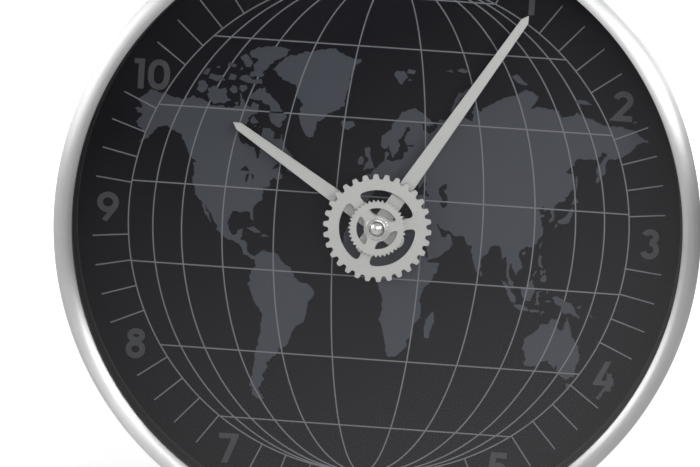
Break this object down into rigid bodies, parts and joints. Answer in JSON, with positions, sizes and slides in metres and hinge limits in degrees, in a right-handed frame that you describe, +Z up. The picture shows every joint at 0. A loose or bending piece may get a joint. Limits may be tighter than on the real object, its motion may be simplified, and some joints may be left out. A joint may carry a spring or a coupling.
{
  "type": "world time wall clock",
  "caption": "Round wall clock with a satin metal rim, flat glass, dark world-map dial, two flat hands under a stacked gear hub, and a quartz movement with its wheel train.",
  "frame": {"origin": "centre of the keyhole's round entry, in the plane of the wall", "axes": "+Z up, +X to the reader's right, -Y out of the dial towards the reader, +Y into the wall"},
  "size_m": [0.3, 0.046, 0.3],
  "materials": {
    "brushed_rim": "fine circular satin brushing",
    "clear_glass": "clear flat glass",
    "black_plastic": "fine moulded grain",
    "dial_print": "satin print on metal",
    "hand_silver": "matte silver paint",
    "polished_nut": "polished plating",
    "brass": "turned",
    "steel": "plated steel",
    "white_plastic": "natural acetal",
    "magnet": "sintered magnet",
    "copper": "enamelled copper wire",
    "board": "solder mask",
    "battery_jacket": "plain printed sleeve",
    "rubber": "moulded rubber"
  },
  "bodies": {
    "clock_case": {"case_rim": "brushed_rim", "glass_lens": "clear_glass", "dial_surround": "black_plastic", "dial": "dial_print", "back_cover": "black_plastic", "movement_front_housing": "black_plastic", "movement_rear_housing": "black_plastic", "middle_plate": "black_plastic", "stator": "steel", "coil_core": "steel", "coil_bobbin": "white_plastic", "coil_winding": "copper", "circuit_board": "board", "quartz_crystal": "steel", "driver_chip": "black_plastic", "battery": "battery_jacket", "battery_contact_plus": "steel", "battery_contact_minus": "steel", "rubber_washer": "rubber", "fixing_nut": "brass"},
    "minute_hand_body": {"minute_arbor": "brass", "minute_hand": "hand_silver", "large_gear": "hand_silver", "small_gear": "hand_silver", "cap_nut": "polished_nut"},
    "hour_hand_body": {"hour_wheel": "white_plastic", "hour_hand": "hand_silver"},
    "motion_wheel_body": {"motion_wheel": "white_plastic"},
    "setting_knob_body": {"setting_knob": "black_plastic"},
    "centre_wheel_body": {"centre_wheel": "white_plastic"},
    "third_wheel_body": {"third_wheel": "white_plastic"},
    "seconds_wheel_body": {"seconds_wheel": "white_plastic"},
    "intermediate_wheel_body": {"intermediate_wheel": "white_plastic"},
    "rotor_body": {"rotor_pinion": "white_plastic", "rotor_magnet": "magnet"}
  },
  "joints": [
    {"name": "minute_hand_turn", "type": "hinge", "parent": "clock_case", "child": "minute_hand_body", "pos_m": [0, 0, -0.105], "axis": [0, 1, 0], "continuous": true},
    {"name": "hour_hand_turn", "type": "hinge", "parent": "clock_case", "child": "hour_hand_body", "pos_m": [0, 0, -0.105], "axis": [0, 1, 0], "continuous": true},
    {"name": "motion_wheel_turn", "type": "hinge", "parent": "clock_case", "child": "motion_wheel_body", "pos_m": [-0.00677, 0, -0.10746], "axis": [0, 1, 0], "continuous": true},
    {"name": "setting_knob_turn", "type": "hinge", "parent": "clock_case", "child": "setting_knob_body", "pos_m": [-0.01394, 0, -0.10809], "axis": [0, 1, 0], "continuous": true},
    {"name": "seconds_wheel_turn", "type": "hinge", "parent": "clock_case", "child": "seconds_wheel_body", "pos_m": [0.0056, 0, -0.08801], "axis": [0, 1, 0], "continuous": true},
    {"name": "intermediate_wheel_turn", "type": "hinge", "parent": "clock_case", "child": "intermediate_wheel_body", "pos_m": [-0.00311, 0, -0.08721], "axis": [0, 1, 0], "continuous": true},
    {"name": "rotor_turn", "type": "hinge", "parent": "clock_case", "child": "rotor_body", "pos_m": [-0.01001, 0, -0.09299], "axis": [0, 1, 0], "continuous": true},
    {"name": "third_wheel_turn", "type": "hinge", "parent": "clock_case", "child": "third_wheel_body", "pos_m": [0.00746, 0, -0.09804], "axis": [0, 1, 0], "continuous": true},
    {"name": "centre_wheel_turn", "type": "hinge", "parent": "clock_case", "child": "centre_wheel_body", "pos_m": [0, 0, -0.105], "axis": [0, 1, 0], "continuous": true}
  ],
  "couplings": [
    {"joint": "hour_hand_turn", "follows": "minute_hand_turn", "ratio": 0.083333},
    {"joint": "motion_wheel_turn", "follows": "minute_hand_turn", "ratio": -0.33333},
    {"joint": "setting_knob_turn", "follows": "minute_hand_turn", "ratio": 1},
    {"joint": "intermediate_wheel_turn", "follows": "seconds_wheel_turn", "ratio": -6},
    {"joint": "rotor_turn", "follows": "seconds_wheel_turn", "ratio": 30},
    {"joint": "third_wheel_turn", "follows": "seconds_wheel_turn", "ratio": -0.13333},
    {"joint": "centre_wheel_turn", "follows": "seconds_wheel_turn", "ratio": 0.016667}
  ]
}
